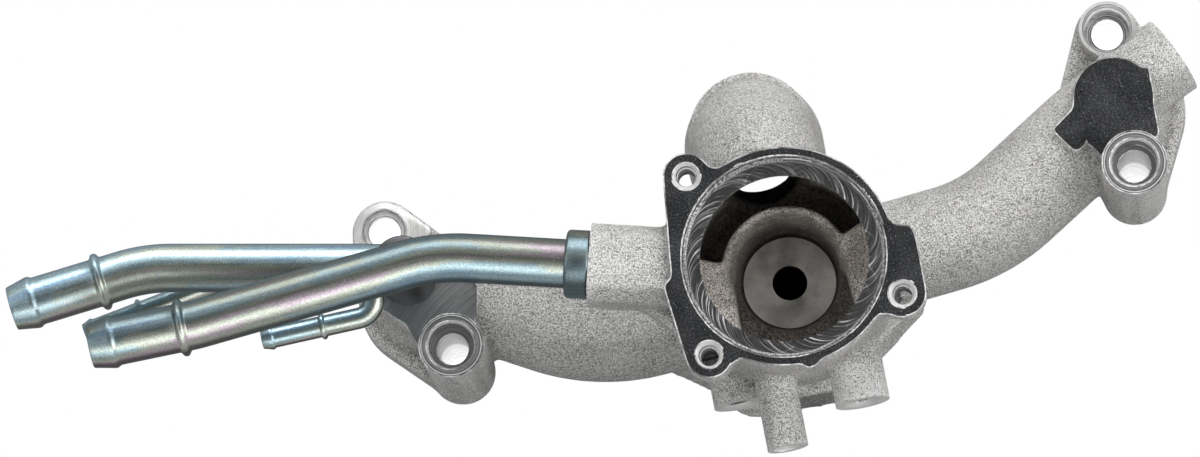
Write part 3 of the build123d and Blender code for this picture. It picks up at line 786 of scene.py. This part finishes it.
def sort_finishes(mesh):
    """Gives the machined parts of the casting their own finishes, by where their faces are and look."""
    count = len(mesh.polygons)
    centre, normal, index = np.empty(3 * count), np.empty(3 * count), np.empty(count, dtype=np.int32)
    mesh.polygons.foreach_get("center", centre)
    mesh.polygons.foreach_get("normal", normal)
    mesh.polygons.foreach_get("material_index", index)
    x, y, z = centre.reshape(-1, 3).T / MM
    up = normal.reshape(-1, 3)[:, 2]

    def reach(spot):
        return np.hypot(x - spot[0], y - spot[1])

    def within(low, high):
        return (z > low) & (z < high)

    # The mouth, its ledge and the valve's seat
    mouth = (reach((0, 0)) < mouth_radius + 0.3) & within(lip_top - lip_depth - 0.1, -0.02) & (index != CAST)
    index[mouth] = BRIGHT
    index[mouth & (up > 0.9) & (reach((0, 0)) < mouth_radius - 1.2) & (z > lip_top - 0.1)] = LEDGE
    seat = (reach((0, 0)) < seat_radius + 0.05) & within(-well_depth - 0.2, -well_depth + 0.1)
    index[seat & (index != CAST)] = SEAT
    # Bores of the bosses and ears
    for tall in (left_tall, right_tall):
        index[(reach(tall) < 11.5) & (index != CAST) & within(flange_z + 0.1, tall_top + 0.1)] = BRIGHT
    for low in (left_low, right_low, *ears):
        index[(reach(low) < 6.5) & (index == INNER)] = BRIGHT
    # Their chamfers, down to a given height
    chamfers = [(ear, 6.5, -2.6) for ear in ears] + [(tall, 9.0, -38) for tall in (left_tall, right_tall)]
    for hole, radius, bottom in chamfers:
        index[(reach(hole) < radius) & (index == BRIGHT) & (up > 0.3) & (up < 0.95) & (z > bottom)] = SATIN
    index[(reach(right_low) < 9.6) & (index == MILLED) & (z > -70)] = BRIGHT
    # Squared ends of the bracket bosses and of the stub
    for start, length, level, radius in bosses.values():
        near = (reach(along(start, boss_turn, length)) < 18) & (np.abs(z - level) < radius + 0.5)
        index[near & (index != CAST) & (y < -34)] = SATIN
    index[(reach(stub_start) > 18) & (x > 118) & (index != CAST) & within(-80, -49)] = SATIN
    # The left flat, and the tops of the low ears
    index[(x < -80) & (np.abs(z - left_pad_z) < 0.05) & (index == MILLED)] = PAD
    index[(reach(left_low) < 15.5) & (up > 0.75) & within(-76.0, -70.0) & (index == CAST)] = SATIN
    index[(reach(right_low) < 9.7) & (up > 0.9) & (z > right_low_top - 0.3)] = SATIN
    mesh.polygons.foreach_set("material_index", index)


def smooth_faces(mesh):
    """For each face, whether it is shaded smooth: all but the level machined ones."""
    return [face.material_index == CAST or abs(face.normal.z) <= LEVEL for face in mesh.polygons]


sort_finishes(casting.data)
casting.data.shade_smooth()
casting.data.set_sharp_from_angle(angle=radians(38))
casting.data.polygons.foreach_set("use_smooth", smooth_faces(casting.data))


def burr_strips(mesh):
    """A narrow raised strip over every edge between a level machined face and the walls beside it."""
    work = bmesh.new()
    work.from_mesh(mesh)
    inward, edges = {}, []
    for edge in work.edges:
        faces = list(edge.link_faces)
        level = [f for f in faces if f.material_index in (MILLED, PAD, BRIGHT) and f.normal.z > LEVEL]
        if len(faces) != 2 or len(level) != 1 or edge.calc_length() < 0.001 * MM:
            continue
        wall = faces[0] if faces[1] is level[0] else faces[1]
        if abs(wall.normal.z) > 0.9:
            continue
        a, b = (v.co for v in edge.verts)
        side = Vector(UP).cross(b - a).normalized()
        if side.dot(level[0].calc_center_median() - a) < 0:
            side = -side
        edges.append(edge)
        for vert in edge.verts:
            inward[vert] = inward.get(vert, Vector()) + side * (b - a).length
    # The strip's section, as pairs of distance inward and rise: over the flat, then down the wall
    section = ((0.40, 0.002), (0.03, 0.012), (-0.03, -0.04), (-0.02, -0.30))
    points, place, faces = [], {}, []
    for vert, side in inward.items():
        side = side.normalized()
        place[vert] = len(points)
        points += [vert.co / MM + side * inset + Vector((0, 0, rise)) for inset, rise in section]
    for edge in edges:
        a, b = (place[v] for v in edge.verts)
        faces += [(a + k, b + k, b + k + 1, a + k + 1) for k in range(len(section) - 1)]
    work.free()
    return painted(object_from("burrs", points, faces), BURR)


# Tapped holes: a fine ridge winds down each one

def thread(name, mouth, axis, radius, pitch, length):
    """The crest of an internal thread as one winding ridge, from the mouth of a hole inwards."""
    per_turn, rise, foot = 32, 0.45, 0.05
    axis = Vector(axis).normalized()
    side = axis.orthogonal().normalized()
    other = axis.cross(side)
    half_width = axis * pitch * 0.46
    count = int(length / pitch * per_turn)
    points, faces = [], []
    for i in range(count + 1):
        turn = 2 * pi * i / per_turn
        out = cos(turn) * side + sin(turn) * other
        fade = min(1.0, i / per_turn, (count - i) / per_turn)
        middle = Vector(mouth) - axis * (pitch * i / per_turn)
        points += [middle + out * (radius + foot) - half_width, middle + out * (radius - rise * fade),
                   middle + out * (radius + foot) + half_width]
    for i in range(count):
        a, b = 3 * i, 3 * i + 3
        faces += [(a, a + 1, b + 1, b), (a + 1, a + 2, b + 2, b + 1), (a + 2, a, b, b + 2)]
    faces += [(0, 2, 1), (3 * count, 3 * count + 1, 3 * count + 2)]
    made = object_from(name, points, faces)
    outward(made)
    return painted(made, BRIGHT)


# Pitch and drilled radius of the two threads
m8, m10 = (1.25, 3.4), (1.5, 4.25)
threads = [thread("cover_thread", (*ear, -1.6), UP, m8[1], m8[0], 12.0) for ear in ears]
for label, (pitch, radius) in (("centre", m8), ("right", m10), ("left", m10)):
    start, length, z, _ = bosses[label]
    threads.append(thread("bracket_thread", (*along(start, boss_turn, length - 1.8), z), heading(boss_turn),
                          radius, pitch, 13.5))
for item in threads:
    item.data.shade_smooth()
    item.data.set_sharp_from_angle(angle=radians(30))
joined([casting, burr_strips(casting.data)] + threads)
for finish in casting_finishes:
    casting.data.materials.append(finish)


# Tubes, post and collar

def plate(made, places, finish):
    """Gives a tube its finish, and each point its place: in two directions across and along it."""
    place = made.data.attributes.new("tube_place", "FLOAT_VECTOR", "POINT")
    place.data.foreach_set("vector", [value for spot in places for value in spot])
    made.data.materials.append(finish)
    made.data.shade_smooth()
    made.data.set_sharp_from_angle(angle=radians(50))
    return made


def turns(segments):
    """Cosine and sine of the steps round a circle."""
    return [(cos(2 * pi * k / segments), sin(2 * pi * k / segments)) for k in range(segments)]


def tube(name, route, bends, outer, inner, hose_end, segments=72):
    """A tube with its hose end's profile: pairs of distance from the tip and added radius."""
    stations = rounded(route, bends, 1.0)
    tip, ahead = stations[0], (stations[1] - stations[0]).normalized()
    reach = hose_end[-1][0]
    rough = [(tip + ahead * distance, outer + added) for distance, added in hose_end]
    rough += [(p, outer) for p in stations[1:] if (p - tip).length > reach + 0.5]
    full = []
    for (p, radius), (q, _) in zip(rough, rough[1:]):
        full.append((p, radius))
        gap = (q - p).length
        if gap > 4:
            full += [(p.lerp(q, k / int(gap / 3)), radius) for k in range(1, int(gap / 3))]
    full.append(rough[-1])
    path = [p for p, _ in full]
    made = swept(name, path, [radius for _, radius in full], segments, [inner] * len(full))
    run, runs = 0.0, []
    for before, p in zip(path[:1] + path, path):
        run += (p - before).length
        runs.append(run)
    wall = [(c, s, run) for run in runs for c, s in turns(segments)]
    return plate(made, wall + wall, plating)


def bead(middle, rise, half):
    """A rolled bead: its profile as pairs of distance and rise."""
    side = ((0.92, 0.03), (0.8, 0.14), (0.68, 0.36), (0.52, 0.68), (0.34, 0.89), (0.17, 0.97))
    shape = [(-1.0, 0.0)] + [(-at, up) for at, up in side] + [(0.0, 1.0), *reversed(side), (1.0, 0.0)]
    return [(middle + half * at, rise * up) for at, up in shape]


large_end = [(0.0, -1.1), (0.15, -0.85), (0.5, -0.70), (2.5, -0.30), (5.0, 0.25), (6.6, 0.60), (7.2, 0.70),
             (7.7, 0.66), (8.1, 0.48), (8.6, 0.16), (9.0, 0.03), (9.5, 0.0)] + bead(30.5, 1.6, 2.0)
small_end = [(0.0, -0.8), (0.1, -0.55), (0.3, -0.40), (1.5, -0.10), (2.8, 0.38), (3.2, 0.45), (3.5, 0.42),
             (3.8, 0.20), (4.1, 0.04), (4.5, 0.0)]

front_route = ((-226.2, -27.5, front_z), (-192.0, -20.3, front_z), (-114.016, 2.418, front_z),
               (-46.428, -1.479, front_z))
rear_route = ((-254.8, -11.6, rear_z), (-210.8, 2.1, rear_z), (*post_centre, rear_z))
side_route = ((-172.1, -21.9, rear_z), (-135.7, -13.6, rear_z), (-135.7, 2.1, rear_z))
lower_route = ((-232.5, -16.9, lower_nipple_z), (-184.0, 2.1, lower_nipple_z), (-184.0, 2.1, rear_z))

front_pipe = tube("front_pipe_finished", front_route, (50.0, 62.0), pipe_radius, pipe_bore, large_end)
rear_pipe = tube("rear_pipe_finished", rear_route, (55.0,), pipe_radius, pipe_bore, large_end)
side_nipple = tube("side_nipple_finished", side_route, (6.0,), nipple_radius, nipple_bore,
                   small_end + bead(20.5, 0.9, 1.2), 48)
lower_nipple = tube("lower_nipple_finished", lower_route, (5.5,), nipple_radius, nipple_bore,
                    small_end + bead(19.8, 0.9, 1.2), 48)


def turned(name, start, axis, profile, finish):
    """A turned piece: pairs of distance along the axis and radius, closed back to its first pair."""
    start, axis = Vector(start), Vector(axis).normalized()
    side = axis.orthogonal().normalized()
    other = axis.cross(side)
    count = len(profile)
    points, faces, places = [], [], []
    for k, (c, s) in enumerate(turns(ROUND)):
        out = c * side + s * other
        points += [start + axis * at + out * radius for at, radius in profile]
        # The first direction is shrunk to a tenth, so that the plating's painted light and shade stays nearly
        # even round the piece
        places += [(0.1 * c, s, at + 200.0) for at, _ in profile]
        a, b = k * count, (k + 1) % ROUND * count
        faces += [(a + i, a + (i + 1) % count, b + (i + 1) % count, b + i) for i in range(count)]
    made = object_from(name, points, faces)
    outward(made)
    return plate(made, places, finish)


collar = turned("front_pipe_collar_finished", (*spigot_end, front_z), -heading(front_turn),
                ((0.05, 8.05), (0.05, 10.7), (0.25, 11.0), (0.7, 11.2), (6.9, 11.2), (7.5, 10.95),
                 (7.9, 10.4), (8.0, 9.6), (8.0, 8.05)), plating)
post = turned("rear_pipe_post_finished", (*post_centre, left_pad_z), UP,
              ((-6.0, 0.3), (-6.0, 7.0), (0.0, 7.0), (0.0, 9.3), (24.5, 9.3), (25.1, 9.1), (25.5, 8.5),
               (25.5, 0.3)), dark)

for piece, node, slot in (
        (casting, "outlet_casting", "cast_aluminium"), (front_pipe, "front_pipe", "plated_steel"),
        (collar, "front_pipe_collar", "plated_steel"), (rear_pipe, "rear_pipe", "plated_steel"),
        (post, "rear_pipe_post", "dark_steel"), (side_nipple, "side_nipple", "plated_steel"),
        (lower_nipple, "lower_nipple", "plated_steel")):
    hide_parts(node)
    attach(piece, "root")


# Floor, light and camera

floor = slab("floor", (-4000, -4000, flange_z - 4), (4000, 4000, flange_z - 0.05))
floor_paint = Paint("floor_white", 0.0)
seen = floor_paint.node("ShaderNodeLightPath", output="Is Camera Ray")
lit = Value(floor_paint, floor_paint.shader.outputs[0])
glow = floor_paint.node("ShaderNodeEmission", {"Color": (1, 1, 1, 1), "Strength": 1.0})
mixed = floor_paint.node("ShaderNodeMixShader", {0: seen, 1: lit, 2: glow})
floor_paint.shader.inputs["Base Color"].default_value = (0.30, 0.30, 0.30, 1.0)
floor_paint.shader.inputs["Roughness"].default_value = 0.9
out = next(n for n in floor_paint.tree.nodes if n.type == "OUTPUT_MATERIAL")
floor_paint.tree.links.new(mixed.socket, out.inputs[0])
floor.data.materials.append(floor_paint.material)

# Small white cards under the bolt holes, so that their walls catch some light
card_paint = Paint("card_white", 0.0)
card_paint.shader.inputs["Emission Color"].default_value = (1.0, 1.0, 1.0, 1.0)
card_paint.shader.inputs["Emission Strength"].default_value = 1.3
for number, hole in enumerate((left_tall, left_low, right_tall, right_low)):
    card = upright(f"card_{number}", hole, flange_z - 0.06, flange_z - 0.02, 9.0, 48)
    card.data.materials.append(card_paint.material)

# A white room for the camera; for everything else it is dim below and at its very top
world = bpy.data.worlds.new("studio")
bpy.context.scene.world = world
world.use_nodes = True
tree = world.node_tree
tree.nodes.clear()
out = tree.nodes.new("ShaderNodeOutputWorld")
rays = tree.nodes.new("ShaderNodeLightPath")
white, room = tree.nodes.new("ShaderNodeBackground"), tree.nodes.new("ShaderNodeBackground")
white.inputs[1].default_value = 1.0
place = tree.nodes.new("ShaderNodeTexCoord")
parts = tree.nodes.new("ShaderNodeSeparateXYZ")
tree.links.new(place.outputs["Generated"], parts.inputs[0])
both = tree.nodes.new("ShaderNodeMath")
both.operation = "MULTIPLY"
for number, (low, high, start, end) in enumerate(((0.86, 0.97, 1.0, 0.10), (0.05, 0.6, 0.10, 0.75))):
    fade = tree.nodes.new("ShaderNodeMapRange")
    fade.interpolation_type = "SMOOTHSTEP"
    for socket, amount in (("From Min", low), ("From Max", high), ("To Min", start), ("To Max", end)):
        fade.inputs[socket].default_value = amount
    tree.links.new(parts.outputs["Z"], fade.inputs["Value"])
    tree.links.new(fade.outputs[0], both.inputs[number])
mix = tree.nodes.new("ShaderNodeMixShader")
tree.links.new(both.outputs[0], room.inputs[1])
tree.links.new(rays.outputs["Is Camera Ray"], mix.inputs[0])
tree.links.new(room.outputs[0], mix.inputs[1])
tree.links.new(white.outputs[0], mix.inputs[2])
tree.links.new(mix.outputs[0], out.inputs[0])


def softbox(name, place, size, power):
    """A large soft light that faces the middle of the object."""
    lamp = bpy.data.lights.new(name, "AREA")
    lamp.shape = "RECTANGLE"
    lamp.size, lamp.size_y = size
    lamp.energy = power
    made = bpy.data.objects.new(name, lamp)
    bpy.context.scene.collection.objects.link(made)
    made.location = place
    aim = Vector((-0.03, 0.02, -0.05)) - Vector(place)
    made.rotation_euler = aim.to_track_quat("-Z", "Y").to_euler()


softbox("softbox_rear", (0.1, 1.40, 0.72), (2.2, 0.6), 19)
softbox("softbox_front", (0.1, -1.10, 0.98), (2.4, 0.5), 5)
softbox("softbox_left", (-1.4, 0.1, 0.8), (0.7, 1.4), 2.5)
softbox("softbox_right", (1.4, -0.1, 0.9), (0.7, 1.4), 12)

# The camera was fitted to the photograph, whose width is in pixels; the rest is in millimetres
photo_width, pixels_per_mm, distance, shift_right, shift_up = 1200, 3.1, 2600, -59.29, 8.806
back = Vector((0.068, -0.2, 0.9774)).normalized()
rise = Vector((0.0, back.z, -back.y)).normalized()
right = rise.cross(back)
lens = bpy.data.cameras.new("camera")
lens.sensor_width = 36.0
lens.sensor_fit = "HORIZONTAL"
lens.lens = pixels_per_mm * distance / photo_width * lens.sensor_width
lens.clip_end = 50.0
camera = bpy.data.objects.new("camera", lens)
bpy.context.scene.collection.objects.link(camera)
spot = (shift_right * right + shift_up * rise + distance * back) * MM
turn = Matrix((right, rise, back)).transposed().to_4x4()
camera.matrix_world = Matrix.Translation(spot) @ turn
bpy.context.scene.camera = camera
bpy.context.scene.view_settings.view_transform = "Standard"
